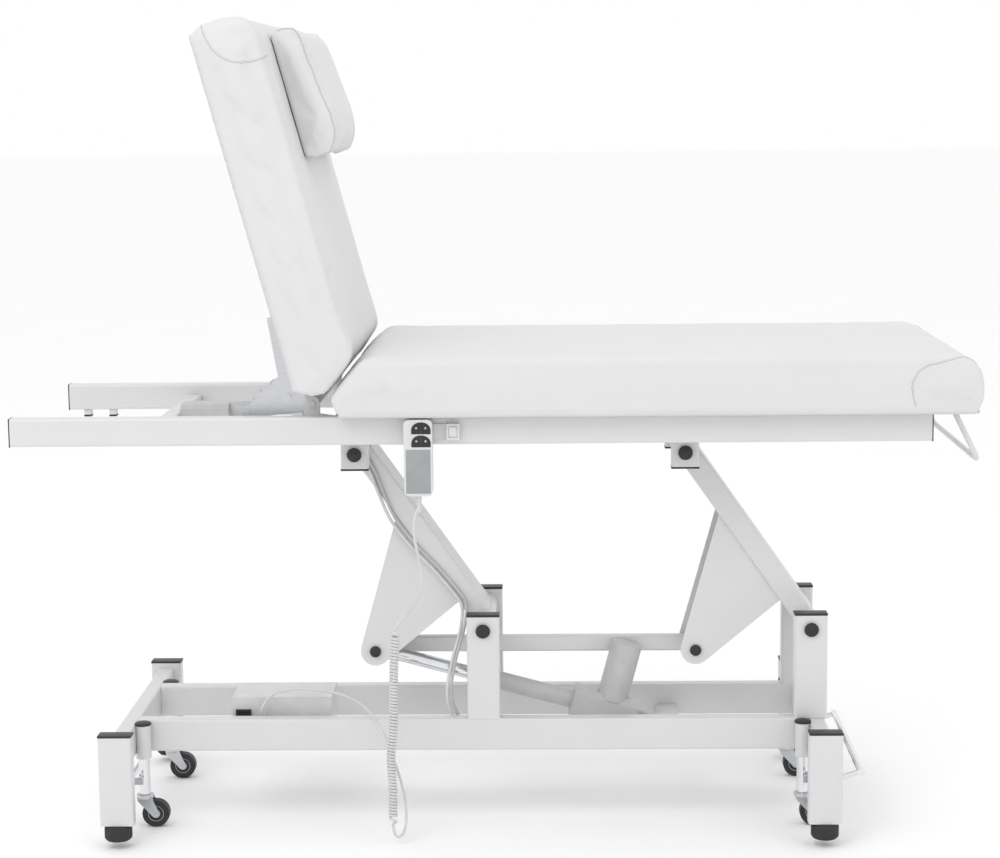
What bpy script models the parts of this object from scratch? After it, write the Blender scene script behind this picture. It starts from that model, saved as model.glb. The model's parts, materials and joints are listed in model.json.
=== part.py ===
"""Electric facial treatment bed: a welded base on castors, a parallelogram lift and a reclining back.

Metres. +X points to the foot end, -Y is the side with the handset, +Z is up. The origin is on the floor
under the middle of the bed. The bed stands raised, with its back up and its castors down.
"""

import math

import bmesh
import bpy
from mathutils import Matrix, Vector

GAP = 0.0003
SIDES = {"near": -1, "far": 1}

# Base
LEG_X = {"head": -0.6835, "foot": 0.5815}
LEG_Y = 0.278
TUBE_DEPTH, TUBE_WIDTH = 0.060, 0.030
LEG_BOTTOM, LEG_TOP = 0.042, 0.204
BEAM_BOTTOM, BEAM_TOP = 0.136, 0.194
RAIL_Y = 0.124
RAIL_BOTTOM, RAIL_TOP = 0.136, 0.196
POST_TOP = 0.386
WALL = 0.0025
CORNER = 0.004

# Castors, pedal and feet
CASTOR_Y = 0.155
SLEEVE_R, SLEEVE_BORE, STEM_R = 0.014, 0.011, 0.0106
SLEEVE_BOTTOM, SLEEVE_TOP = 0.129, 0.191
WHEEL_R, WHEEL_WIDTH, TRAIL = 0.025, 0.018, 0.020
SHAFT_Z, SHAFT_R = 0.088, 0.006
PEDAL_TIP = (0.655, 0.112)
PEDAL_Y = 0.200
FOOT_BOTTOM, FOOT_R = 0.014, 0.025

# Lift
ARM_LENGTH = 0.400
ARM_ANGLE = math.radians(125)
LOWER_PIVOT_Z = 0.361
LOWER_PIVOT_X = {"head": -0.029, "foot": 0.570}
CRANK = (-0.205, -0.060)
ARM_HEIGHT, ARM_WIDTH = 0.040, 0.100
HUB_R, AXLE_R, AXLE_BORE = 0.020, 0.008, 0.0083
POST_INNER_Y, POST_OUTER_Y = RAIL_Y - TUBE_WIDTH / 2, RAIL_Y + TUBE_WIDTH / 2
GUSSET_Y = (0.038, 0.044)
PIN_R = 0.006
TIE_Y = (0.012, 0.032)
MOTOR_PIVOT = (0.279, 0.162)
MOTOR_Y = -0.020
ROD_R, LIFT_TUBE_R, LIFT_BORE_R = 0.0125, 0.017, 0.013

# Deck
DECK_X = (-0.854, 0.763)
DECK_Y = (0.2375, 0.2675)
DECK_BOTTOM, DECK_TOP = 0.725, 0.775
STUB_BOTTOM = 0.662
BOARD = 0.012
CUSHION_Y = 0.310
SEAT_TOP = 0.880

# Back: n is measured forwards from the hinge, square to the back, and t along it
HINGE = (-0.325, 0.792)
BACK_ANGLE = math.radians(75)
BACK_PLANE = -0.0158
BACK_FRONT = 0.1019
BACK_TOP = 0.687
PLATE_Y = (0.200, 0.206)
LUG_Y = (0.2095, 0.2155)
YOKE_RADIUS = 0.045
YOKE_ANGLE = math.radians(224.5)
BACK_ROD_Z = 0.754

# Handset and its cord
HANDSET_X = (-0.158, -0.108)
HANDSET_Z = (0.638, 0.773)
HANDSET_Y = (-0.297, -0.272)
CORD_R, COIL_R = 0.0025, 0.0085
GLAND = (-0.444, 0.1875)
CABLE_R = 0.003

WHITE = ("white_steel", (0.86, 0.87, 0.87), 0.35, 0.0)
BLACK = ("black_plastic", (0.02, 0.02, 0.02), 0.45, 0.0)
RUBBER = ("black_rubber", (0.025, 0.025, 0.025), 0.7, 0.0)
CHROME = ("chrome", (0.75, 0.76, 0.78), 0.15, 1.0)
ZINC = ("zinc_steel", (0.62, 0.63, 0.65), 0.35, 1.0)
LEATHER = ("white_leather", (0.84, 0.85, 0.86), 0.5, 0.0)
PLYWOOD = ("plywood", (0.62, 0.45, 0.27), 0.7, 0.0)
GREY = ("grey_plastic", (0.62, 0.63, 0.64), 0.4, 0.0)
IVORY = ("white_plastic", (0.82, 0.83, 0.83), 0.4, 0.0)


def clear_scene():
    for obj in list(bpy.data.objects):
        bpy.data.objects.remove(obj)


def material(name, colour, roughness, metallic):
    found = bpy.data.materials.get(name)
    if found:
        return found
    made = bpy.data.materials.new(name)
    made.use_nodes = True
    shader = made.node_tree.nodes["Principled BSDF"]
    shader.inputs["Base Color"].default_value = (*colour, 1.0)
    shader.inputs["Roughness"].default_value = roughness
    shader.inputs["Metallic"].default_value = metallic
    return made


def add(name, mesh, finish, pivot=(0, 0, 0)):
    """An object from a bmesh in world coordinates, with its origin moved to pivot."""
    bmesh.ops.recalc_face_normals(mesh, faces=mesh.faces)
    bmesh.ops.translate(mesh, verts=mesh.verts, vec=-Vector(pivot))
    data = bpy.data.meshes.new(name)
    mesh.to_mesh(data)
    mesh.free()
    data.shade_smooth()
    data.set_sharp_from_angle(angle=math.radians(35))
    obj = bpy.data.objects.new(name, data)
    obj.location = pivot
    bpy.context.scene.collection.objects.link(obj)
    obj.data.materials.append(material(f"{name}_{finish[0]}", *finish[1:]))
    return obj


def combine(target, operation, meshes):
    """Joins or cuts target with each helper mesh by a Boolean."""
    for index, mesh in enumerate(meshes):
        tool = add(f"{target.name}_{operation.lower()}_{index}", mesh, WHITE)
        tool.hide_render = True
        tool.display_type = "WIRE"
        boolean = target.modifiers.new(tool.name, "BOOLEAN")
        boolean.operation = operation
        boolean.solver = "EXACT"
        boolean.object = tool


def weld(target, *meshes):
    combine(target, "UNION", meshes)


def cut(target, *meshes):
    combine(target, "DIFFERENCE", meshes)


def rounded_rectangle(width, height, radius, steps=2):
    """Points of a rectangle with round corners, anticlockwise."""
    points = []
    corners = ((1, 1, 0), (-1, 1, 90), (-1, -1, 180), (1, -1, 270))
    for sign_u, sign_v, start in corners:
        for step in range(steps + 1):
            angle = math.radians(start + 90 * step / steps)
            u = sign_u * (width / 2 - radius) + radius * math.cos(angle)
            v = sign_v * (height / 2 - radius) + radius * math.sin(angle)
            points.append((u, v))
    return points


def circle(radius, count):
    turns = [2 * math.pi * index / count for index in range(count)]
    return [(radius * math.cos(turn), radius * math.sin(turn)) for turn in turns]


def frame_along(start, end, side=(0, 1, 0)):
    """The directions of a section's two axes, for a bar from start to end."""
    along = (Vector(end) - Vector(start)).normalized()
    first = Vector(side)
    if abs(along.dot(first)) > 0.99:
        first = Vector((1, 0, 0))
    first = (first - along * along.dot(first)).normalized()
    return first, along.cross(first)


def prism(section, start, end, hole=None, side=(0, 1, 0)):
    """A section swept from start to end. A hole of as many points runs through it."""
    mesh = bmesh.new()
    first, second = frame_along(start, end, side)

    def ring(points, centre):
        return [mesh.verts.new(Vector(centre) + first * u + second * v) for u, v in points]

    def wall(near, far):
        for index in range(len(near)):
            after = (index + 1) % len(near)
            mesh.faces.new((near[index], near[after], far[after], far[index]))

    outer = ring(section, start), ring(section, end)
    wall(*outer)
    if hole is None:
        mesh.faces.new(outer[0])
        mesh.faces.new(outer[1])
        return mesh
    inner = ring(hole, start), ring(hole, end)
    wall(*inner)
    wall(outer[0], inner[0])
    wall(outer[1], inner[1])
    return mesh


def tube(start, end, width, height, wall=WALL, corner=CORNER, side=(0, 1, 0)):
    """A hollow rectangular tube; width lies along side."""
    outer = rounded_rectangle(width, height, corner)
    inner = rounded_rectangle(width - 2 * wall, height - 2 * wall, corner - wall / 2)
    return prism(outer, start, end, inner, side)


def bar(start, end, width, height, corner=0.001, side=(0, 1, 0)):
    return prism(rounded_rectangle(width, height, corner, 1), start, end, None, side)


def rod(start, end, radius, count=16, bore=0.0):
    hole = circle(bore, count) if bore else None
    return prism(circle(radius, count), start, end, hole)


def cross_rod(x, z, y_from, y_to, radius, count=16, bore=0.0):
    return rod((x, y_from, z), (x, y_to, z), radius, count, bore)


def block(low, high):
    low, high = Vector(low), Vector(high)
    mesh = bmesh.new()
    centre = Matrix.Translation((low + high) / 2)
    bmesh.ops.create_cube(mesh, size=1.0, matrix=centre @ Matrix.Diagonal((*(high - low), 1.0)))
    return mesh


def plate(outline, y_from, y_to):
    """An outline in X and Z, as thick as from y_from to y_to."""
    mesh = bmesh.new()
    sides = [[mesh.verts.new((x, y, z)) for x, z in outline] for y in (y_from, y_to)]
    for side in sides:
        mesh.faces.new(side)
    for index in range(len(outline)):
        after = (index + 1) % len(outline)
        mesh.faces.new((sides[0][index], sides[0][after], sides[1][after], sides[1][index]))
    return mesh


def turned(profile, base, count=16):
    """A profile of (radius, height) points turned about the vertical through base."""
    mesh = bmesh.new()
    rings = []
    for radius, height in profile:
        points = circle(radius, count)
        rings.append([mesh.verts.new((base[0] + x, base[1] + y, base[2] + height)) for x, y in points])
    for low, high in zip(rings, rings[1:]):
        for index in range(count):
            after = (index + 1) % count
            mesh.faces.new((low[index], low[after], high[after], high[index]))
    mesh.faces.new(rings[0])
    mesh.faces.new(rings[-1])
    return mesh


def arc(centre, radius, start, end, steps):
    """Points of an arc, angles in degrees."""
    angles = [math.radians(start + (end - start) * step / steps) for step in range(steps + 1)]
    return [(centre[0] + radius * math.cos(a), centre[1] + radius * math.sin(a)) for a in angles]


def smooth_route(points, spacing):
    """Points at even spacing along a smooth curve through the route's own points."""
    knots = [Vector(point) for point in points]
    ends = [2 * knots[0] - knots[1], *knots, 2 * knots[-1] - knots[-2]]
    fine = []
    for before, start, end, after in zip(ends, ends[1:], ends[2:], ends[3:]):
        for step in range(24):
            s = step / 24
            fine.append(
                0.5 * (2 * start + (end - before) * s + (2 * before - 5 * start + 4 * end - after) * s**2
                       + (3 * start - before - 3 * end + after) * s**3)
            )
    fine.append(knots[-1])
    total = sum((b - a).length for a, b in zip(fine, fine[1:]))
    count = max(2, round(total / spacing))
    placed, walked, wanted = [fine[0]], 0.0, 1
    for a, b in zip(fine, fine[1:]):
        length = (b - a).length
        while wanted < count and walked + length >= total * wanted / count:
            placed.append(a.lerp(b, (total * wanted / count - walked) / length))
            wanted += 1
        walked += length
    placed.append(fine[-1])
    return placed


def cable(name, points, radius, spacing, finish, resolution=2):
    curve = bpy.data.curves.new(name, "CURVE")
    curve.dimensions = "3D"
    curve.bevel_depth = radius
    curve.bevel_resolution = resolution
    curve.use_fill_caps = True
    route = smooth_route(points, spacing)
    spline = curve.splines.new("POLY")
    spline.points.add(len(route) - 1)
    for point, place in zip(spline.points, route):
        point.co = (*place, 1.0)
    obj = bpy.data.objects.new(name, curve)
    bpy.context.scene.collection.objects.link(obj)
    curve.materials.append(material(f"{name}_{finish[0]}", *finish[1:]))
    return obj


def on_back(n, t):
    """The world X and Z of a point on the back."""
    along = Vector((-math.cos(BACK_ANGLE), math.sin(BACK_ANGLE)))
    out = Vector((math.sin(BACK_ANGLE), math.cos(BACK_ANGLE)))
    return tuple(Vector(HINGE) + out * n + along * t)


def upper_pivot(end):
    x = LOWER_PIVOT_X[end] + ARM_LENGTH * math.cos(ARM_ANGLE)
    return x, LOWER_PIVOT_Z + ARM_LENGTH * math.sin(ARM_ANGLE)


def crank_pin(end):
    return LOWER_PIVOT_X[end] + CRANK[0], LOWER_PIVOT_Z + CRANK[1]


def outward(end):
    return 1 if end == "foot" else -1


def beam_x(end):
    """The X of an end beam's outer and inner faces."""
    half = outward(end) * TUBE_WIDTH / 2
    return LEG_X[end] + half, LEG_X[end] - half


def castor_x(end):
    return beam_x(end)[1] - outward(end) * (SLEEVE_R - 0.0015)


def make_base_sides():
    low_x = beam_x("head")[1] + GAP
    high_x = beam_x("foot")[1] - GAP
    middle_z = (RAIL_BOTTOM + RAIL_TOP) / 2
    for name, side in SIDES.items():
        y = side * RAIL_Y
        rail = tube((low_x, y, middle_z), (high_x, y, middle_z), TUBE_WIDTH, RAIL_TOP - RAIL_BOTTOM)
        obj = add(f"base_side_{name}", rail, WHITE)
        posts = []
        for x in LOWER_PIVOT_X.values():
            posts.append(tube((x, y, BEAM_TOP + GAP), (x, y, POST_TOP), TUBE_WIDTH, TUBE_DEPTH))
        weld(obj, *posts)
        reach = side * (POST_OUTER_Y + 0.01), side * (POST_INNER_Y - 0.01)
        cut(obj, *(cross_rod(x, LOWER_PIVOT_Z, *reach, AXLE_BORE) for x in LOWER_PIVOT_X.values()))


def make_end_frames():
    middle_z = (BEAM_BOTTOM + BEAM_TOP) / 2
    inner_y = LEG_Y - TUBE_WIDTH / 2 + 0.001
    for end in LEG_X:
        x = sum(beam_x(end)) / 2
        beam = tube((x, -inner_y, middle_z), (x, inner_y, middle_z), TUBE_WIDTH, BEAM_TOP - BEAM_BOTTOM,
                    side=(1, 0, 0))
        obj = add(f"end_frame_{end}", beam, WHITE)
        pieces = []
        for side in SIDES.values():
            place = LEG_X[end], side * LEG_Y
            pieces.append(tube((*place, LEG_BOTTOM), (*place, LEG_TOP), TUBE_WIDTH, TUBE_DEPTH))
            sleeve = castor_x(end), side * CASTOR_Y
            pieces.append(rod((*sleeve, SLEEVE_BOTTOM), (*sleeve, SLEEVE_TOP), SLEEVE_R, 24, SLEEVE_BORE))
        weld(obj, *pieces)
        cut(obj, rod((x, 0, BEAM_BOTTOM - 0.01), (x, 0, BEAM_BOTTOM + 0.01), 0.004, 12))


def make_feet():
    for end in LEG_X:
        for name, side in SIDES.items():
            base = LEG_X[end], side * LEG_Y, FOOT_BOTTOM
            height = LEG_BOTTOM - GAP - FOOT_BOTTOM
            profile = ((0.021, 0), (FOOT_R - 0.001, 0.003), (FOOT_R, 0.006), (FOOT_R, height - 0.006),
                       (FOOT_R - 0.002, height - 0.002), (FOOT_R - 0.005, height), (0.005, height), (0.005, 0.075))
            add(f"levelling_foot_{end}_{name}", turned(profile, base, 20), RUBBER, base)


def make_castors():
    for end in LEG_X:
        for name, side in SIDES.items():
            x, y = castor_x(end), side * CASTOR_Y
            stem = turned(((STEM_R, 0.0), (STEM_R, 0.103)), (x, y, 0.062))
            add(f"castor_stem_{end}_{name}", stem, CHROME, (x, y, 0.062))
            make_fork(f"{end}_{name}", x, y)
            make_wheel(f"{end}_{name}", x + TRAIL, y)


def make_fork(label, x, y):
    axle_x = x + TRAIL
    top = turned(((0.014, 0.0), (0.016, 0.002), (0.016, 0.008), (0.012, 0.0097)), (x, y, 0.052))
    obj = add(f"castor_fork_{label}", top, ZINC, (x, y, 0.052))
    legs = []
    half = WHEEL_WIDTH / 2 + 0.001
    outline = [(x - 0.013, 0.056), (x - 0.012, 0.049), *arc((axle_x, WHEEL_R), 0.007, 215, 380, 5), (x + 0.014, 0.056)]
    for side in (-1, 1):
        legs.append(plate(outline, y + side * half, y + side * (half + 0.0025)))
    legs.append(block((x - 0.013, y - half - 0.001, 0.0525), (x + 0.010, y + half + 0.001, 0.056)))
    legs.append(cross_rod(axle_x, WHEEL_R, y - half - 0.004, y + half + 0.004, 0.003, 8))
    weld(obj, *legs)


def make_wheel(label, x, y):
    wheel = cross_rod(x, WHEEL_R, y - WHEEL_WIDTH / 2, y + WHEEL_WIDTH / 2, WHEEL_R, 24, 0.0034)
    add(f"castor_wheel_{label}", wheel, RUBBER, (x, y, WHEEL_R))


def make_crank_shaft(name, end, x):
    """A shaft between the legs, with a lever beside each castor stem."""
    reach = LEG_Y - TUBE_WIDTH / 2 - GAP
    shaft = cross_rod(x, SHAFT_Z, -reach, reach, SHAFT_R, 16)
    obj = add(name, shaft, CHROME, (x, 0, SHAFT_Z))
    levers = []
    for side in SIDES.values():
        y = side * (CASTOR_Y + 0.0165)
        levers.append(bar((x, y, SHAFT_Z), (castor_x(end), y, SHAFT_Z + 0.002), 0.005, 0.014))
    weld(obj, *levers)
    return obj


def make_pedals():
    make_crank_shaft("castor_crank_head", "head", LEG_X["head"])
    x = LEG_X["foot"]
    pedal = make_crank_shaft("castor_pedal", "foot", x)
    arms = [rod((x, side * PEDAL_Y, SHAFT_Z), (PEDAL_TIP[0], side * PEDAL_Y, PEDAL_TIP[1]), 0.005, 12)
            for side in SIDES.values()]
    reach = PEDAL_Y + 0.006
    weld(pedal, *arms, cross_rod(*PEDAL_TIP, -reach, reach, 0.0065, 16))


def make_axles():
    for end in LEG_X:
        places = {"lower": (LOWER_PIVOT_X[end], LOWER_PIVOT_Z), "upper": upper_pivot(end)}
        for level, (x, z) in places.items():
            face = POST_OUTER_Y + GAP
            obj = add(f"axle_{end}_{level}", cross_rod(x, z, -face - 0.002, face + 0.002, AXLE_R), BLACK, (x, 0, z))
            weld(obj, *(cross_rod(x, z, side * face, side * (face + 0.005), 0.0113) for side in SIDES.values()))


def along_arm(end, distance, y=0.0):
    x = LOWER_PIVOT_X[end] + distance * math.cos(ARM_ANGLE)
    return x, y, LOWER_PIVOT_Z + distance * math.sin(ARM_ANGLE)


def gusset_outline(end):
    """From the round tip at the crank pin up both edges to the arm."""
    x, z = LOWER_PIVOT_X[end], LOWER_PIVOT_Z
    tip = arc(crank_pin(end), 0.028, 165, 304, 6)
    return [*tip, (x - 0.049, z + 0.033), (x - 0.035, z + 0.040), (x - 0.150, z + 0.205), (x - 0.161, z + 0.199)]


def make_arms():
    reach = POST_INNER_Y - GAP
    for end in LEG_X:
        beam = tube(along_arm(end, 0.010), along_arm(end, ARM_LENGTH - 0.010), ARM_WIDTH, ARM_HEIGHT)
        pivot = LOWER_PIVOT_X[end], 0, LOWER_PIVOT_Z
        obj = add(f"lift_arm_{end}", beam, WHITE, pivot)
        hubs = [cross_rod(pivot[0], pivot[2], -reach, reach, HUB_R, 20)]
        top = upper_pivot(end)
        hubs.append(cross_rod(*top, -reach, reach, HUB_R, 20))
        gussets = [plate(gusset_outline(end), side * GUSSET_Y[0], side * GUSSET_Y[1]) for side in SIDES.values()]
        pin = cross_rod(*crank_pin(end), -GUSSET_Y[1] + 0.001, GUSSET_Y[1] - 0.001, PIN_R, 16)
        weld(obj, *hubs, *gussets, pin)
        bores = [cross_rod(pivot[0], pivot[2], -0.2, 0.2, AXLE_BORE), cross_rod(*top, -0.2, 0.2, AXLE_BORE)]
        middle = Vector(along_arm(end, ARM_LENGTH / 2))
        under = Vector((-math.sin(ARM_ANGLE), 0, math.cos(ARM_ANGLE))) * ARM_HEIGHT / 2
        cut(obj, *bores, rod(middle + under * 0.8, middle + under * 1.3, 0.008, 16))


def make_tie_bar():
    left, right = crank_pin("head"), crank_pin("foot")
    y = sum(TIE_Y) / 2
    body = bar((left[0] - 0.014, y, left[1]), (right[0] + 0.014, y, right[1]), TIE_Y[1] - TIE_Y[0], 0.030, 0.003)
    obj = add("tie_bar", body, WHITE, (left[0], 0, left[1]))
    cut(obj, *(cross_rod(*place, 0, 0.05, PIN_R + 0.0005, 16) for place in (left, right)))


def make_lift_motor():
    base, tip = Vector((MOTOR_PIVOT[0], MOTOR_Y, MOTOR_PIVOT[1])), Vector((0, MOTOR_Y, 0))
    tip.x, tip.z = crank_pin("head")
    along = (tip - base).normalized()
    across = Vector((-along.z, 0, along.x)) * -1

    def at(distance, rise=0.0):
        return base + along * distance + across * rise

    obj = add("lift_motor", bar(at(0.026), at(0.150), 0.054, 0.058, 0.010), GREY, tuple(base))
    weld(
        obj,
        rod(at(0.078, 0.020), at(0.078, 0.132), 0.029, 40),
        rod(at(0.140), at(0.330), LIFT_TUBE_R, 32),
        bar(at(0.0), at(0.032), 0.016, 0.024, 0.002),
        cross_rod(base.x, base.z, MOTOR_Y - 0.008, MOTOR_Y + 0.008, 0.014),
    )
    cut(obj, rod(at(0.180), at(0.340), LIFT_BORE_R, 32), cross_rod(base.x, base.z, -0.05, 0.01, PIN_R + 0.0005, 16))
    length = (tip - base).length
    rod_piece = add("lift_rod", rod(at(0.300), at(length - 0.018), ROD_R, 32), CHROME, tuple(at(0.300)))
    weld(rod_piece, cross_rod(tip.x, tip.z, MOTOR_Y - 0.008, MOTOR_Y + 0.008, 0.022, 32))
    cut(rod_piece, cross_rod(tip.x, tip.z, MOTOR_Y - 0.02, MOTOR_Y + 0.02, 0.0165, 32))


def make_motor_mount():
    x, z = MOTOR_PIVOT
    reach = POST_INNER_Y - GAP
    strut = tube((x + 0.038, -reach, 0.147), (x + 0.038, reach, 0.147), 0.040, 0.022, side=(1, 0, 0))
    obj = add("motor_mount", strut, WHITE)
    outline = [(x + 0.050, 0.150), (x + 0.050, 0.157), *arc(MOTOR_PIVOT, 0.013, 40, 220, 8), (x + 0.012, 0.146)]
    ears = [plate(outline, MOTOR_Y + low, MOTOR_Y + high) for low, high in ((-0.0125, -0.0085), (0.0085, 0.0125))]
    weld(obj, *ears, cross_rod(x, z, MOTOR_Y - 0.015, MOTOR_Y + 0.015, PIN_R, 16))


def make_control_box():
    low, high = Vector((-0.501, -0.080, 0.1635)), Vector((-0.315, 0.030, 0.223))
    shell = block(low, high)
    obj = add("control_box", shell, IVORY)
    reach = POST_INNER_Y - GAP
    weld(obj, block((low.x + 0.03, -reach, 0.160), (high.x - 0.03, reach, 0.165)))
    weld(obj, cross_rod(*GLAND, low.y - 0.004, low.y + 0.002, 0.0065, 20))
    inlet = block((-0.494, -0.0865, 0.176), (-0.466, -0.0803, 0.200))
    socket = add("mains_inlet", inlet, BLACK)
    cut(socket, block((-0.490, -0.0900, 0.180), (-0.470, -0.0830, 0.196)))


def make_deck_rails():
    z = (DECK_BOTTOM + DECK_TOP) / 2
    y = sum(DECK_Y) / 2
    for name, side in SIDES.items():
        rail = tube((DECK_X[0], side * y, z), (DECK_X[1], side * y, z), 0.030, 0.050, 0.002)
        add(f"deck_rail_{name}", rail, WHITE)


def make_cross_members():
    reach = DECK_Y[0] - GAP
    z = (DECK_BOTTOM + DECK_TOP) / 2
    for end in LEG_X:
        x, pivot_z = upper_pivot(end)
        obj = add(f"deck_cross_{end}", tube((x, -reach, z), (x, reach, z), 0.050, 0.0494, side=(1, 0, 0)), WHITE)
        stubs = [tube((x, side * RAIL_Y, STUB_BOTTOM), (x, side * RAIL_Y, DECK_BOTTOM + 0.0015), TUBE_WIDTH, 0.050)
                 for side in SIDES.values()]
        weld(obj, *stubs)
        if end == "head":
            weld(obj, *hinge_lugs(x - 0.025))
        cut(obj, *(cross_rod(x, pivot_z, side * 0.09, side * 0.16, AXLE_BORE) for side in SIDES.values()))
    motor = tube((-0.605, -reach, 0.740), (-0.605, reach, 0.740), 0.030, 0.028, side=(1, 0, 0))
    add("deck_cross_motor", motor, WHITE)


def hinge_lugs(tube_x):
    """The fixed ears of the back's hinge, each with its pin."""
    outline = [(tube_x + 0.001, 0.732), (tube_x + 0.001, 0.770), (HINGE[0] + 0.014, 0.774),
               *arc(HINGE, 0.014, 0, 180, 8), (HINGE[0] - 0.014, 0.745)]
    pieces = []
    for side in SIDES.values():
        pieces.append(plate(outline, side * LUG_Y[0], side * LUG_Y[1]))
        pieces.append(cross_rod(*HINGE, side * 0.170, side * (LUG_Y[1] + 0.003), PIN_R, 16))
    return pieces


def make_seat():
    add("seat_board", block((-0.276, -0.290, DECK_TOP + GAP), (0.842, 0.290, DECK_TOP + BOARD)), PLYWOOD)
    low = DECK_TOP + BOARD + GAP
    outline = [(-0.278, low), (-0.289, 0.799), (-0.2914, 0.8093), (-0.2463, 0.865), (-0.234, SEAT_TOP - 0.002),
               (-0.226, SEAT_TOP), (0.800, SEAT_TOP), (0.832, 0.872), (0.850, 0.850), (0.854, 0.820),
               (0.852, 0.796), (0.844, low)]
    add("seat_cushion", plate(outline, -CUSHION_Y, CUSHION_Y), LEATHER)


def yoke_pin():
    return HINGE[0] + YOKE_RADIUS * math.cos(YOKE_ANGLE), HINGE[1] + YOKE_RADIUS * math.sin(YOKE_ANGLE)


def make_back_frame():
    outline = [(-0.0161, 0.024), (-0.0161, 0.167), (-0.036, 0.167), (-0.046, 0.062), (-0.112, 0.026),
               *arc((-0.117, 0.016), 0.010, 100, 260, 6), (-0.030, -0.010), (0.0, -0.013), (0.011, -0.006),
               (0.0125, 0.002), (0.007, 0.008), (-0.005, 0.012)]
    world = [on_back(n, t) for n, t in outline]
    low, high = PLATE_Y
    obj = add("back_frame", plate(world, -high, -low), ZINC, (HINGE[0], 0, HINGE[1]))
    pin = yoke_pin()
    reach = low + 0.003
    lug = [on_back(0.0, -0.004), *arc(pin, 0.010, 180, 360, 6), (HINGE[0] + 0.006, HINGE[1] - 0.004)]
    weld(
        obj,
        plate(world, low, high),
        cross_rod(*HINGE, -reach, reach, 0.0115, 24),
        plate(lug, -0.004, 0.004),
        cross_rod(*pin, -0.020, 0.020, 0.005, 16),
        *(cross_rod(*on_back(n, t), side * (high - 0.001), side * (high + 0.004), 0.006, 12)
          for side in SIDES.values() for n, t in ((-0.026, 0.157), (-0.026, 0.050), (-0.038, 0.021), (-0.117, 0.016))),
    )
    cut(obj, cross_rod(*HINGE, -0.25, 0.25, PIN_R + 0.0005, 16))


def make_back():
    board = [on_back(n, t) for n, t in ((BACK_PLANE, 0.030), (-0.0058, 0.030), (-0.0058, 0.670), (BACK_PLANE, 0.670))]
    pivot = HINGE[0], 0, HINGE[1]
    add("back_board", plate(board, -0.290, 0.290), PLYWOOD, pivot)
    outline = [(-0.0055, 0.030), (0.002, 0.020), (0.012, 0.0145), (0.034, 0.0125), (0.092, 0.054), (0.100, 0.064),
               (BACK_FRONT, 0.080), (BACK_FRONT, 0.648), (0.092, 0.676), (0.076, BACK_TOP), (0.005, BACK_TOP),
               (-0.0055, 0.676)]
    add("back_cushion", plate([on_back(n, t) for n, t in outline], -CUSHION_Y, CUSHION_Y), LEATHER, pivot)


def make_pillow():
    start = BACK_FRONT + GAP
    pad = [(start, 0.425), (start, 0.640), (start + 0.0055, 0.640), (start + 0.0055, 0.425)]
    pivot = on_back(start, 0.53)
    pivot = pivot[0], 0, pivot[1]
    add("pillow_pad", plate([on_back(n, t) for n, t in pad], -0.150, 0.150), BLACK, pivot)
    low = start + 0.0058
    outline = [(low, 0.420), (low + 0.010, 0.408), (low + 0.045, 0.412), (low + 0.066, 0.440), (low + 0.070, 0.480),
               (low + 0.056, 0.630), (low + 0.044, 0.648), (low + 0.010, 0.652), (low, 0.640)]
    add("head_pillow", plate([on_back(n, t) for n, t in outline], -0.200, 0.200), LEATHER, pivot)


def make_back_motor():
    z = BACK_ROD_Z
    obj = add("back_motor", bar((-0.5897, 0, 0.735), (-0.500, 0, 0.735), 0.070, 0.066, 0.008), GREY)
    weld(obj, rod((-0.505, 0, z), (-0.430, 0, z), 0.0165, 24))
    cut(obj, rod((-0.550, 0, z), (-0.420, 0, z), 0.0105, 24))
    pin = yoke_pin()
    yoke = bar((pin[0] - 0.026, 0, z), (pin[0] + 0.013, 0, z), 0.034, 0.038, 0.002)
    piece = add("back_rod", yoke, ZINC, (pin[0], 0, z))
    weld(piece, rod((-0.470, 0, z), (pin[0] - 0.0235, 0, z), 0.010, 24))
    slot = prism(rounded_rectangle(0.016, 0.030, 0.005, 2), (pin[0], -0.05, z), (pin[0], 0.05, z), side=(1, 0, 0))
    gap = block((pin[0] - 0.0205, -0.0055, z - 0.030), (pin[0] + 0.030, 0.0055, z + 0.030))
    cut(piece, slot, gap)


def make_handset():
    low_x, high_x = HANDSET_X
    low_z, high_z = HANDSET_Z
    y = HANDSET_Y
    centre = (low_x + high_x) / 2, (low_z + high_z) / 2
    section = rounded_rectangle(high_x - low_x, high_z - low_z, 0.008)
    shell = prism(section, (centre[0], y[0], centre[1]), (centre[0], y[1], centre[1]), side=(1, 0, 0))
    obj = add("handset_shell", shell, IVORY)
    weld(obj, block((low_x + 0.012, y[1] - 0.002, 0.740), (high_x - 0.012, -DECK_Y[1] - GAP, 0.765)),
         rod((low_x + 0.025, sum(y) / 2, low_z - 0.008), (low_x + 0.025, sum(y) / 2, low_z + 0.002), 0.005, 16))
    wells = []
    for level, top in (("upper", 0.768), ("lower", 0.745)):
        for name, side in (("left", -1), ("right", 1)):
            outline = button_outline(top, side)
            wells.append(plate(grown(outline, 0.0006), y[0] - 0.002, y[0] + 0.0045))
            pivot = outline[0][0], y[0], outline[0][1]
            add(f"button_{level}_{name}", plate(outline, y[0] - 0.0012, y[0] + 0.0018), BLACK, pivot)
    cut(obj, *wells)


def button_outline(top, side):
    """Half of a half-moon key pad, with a straight lower edge."""
    centre_x = -0.1275
    inner = centre_x + side * 0.0007
    outer = centre_x + side * 0.0163
    bottom = top - 0.0195
    curve = [(centre_x + side * (0.0007 + 0.0156 * math.sin(math.radians(a))),
              bottom + 0.006 + 0.0135 * math.cos(math.radians(a))) for a in range(0, 91, 15)]
    return [(inner, bottom), *curve, (outer, bottom)]


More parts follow.
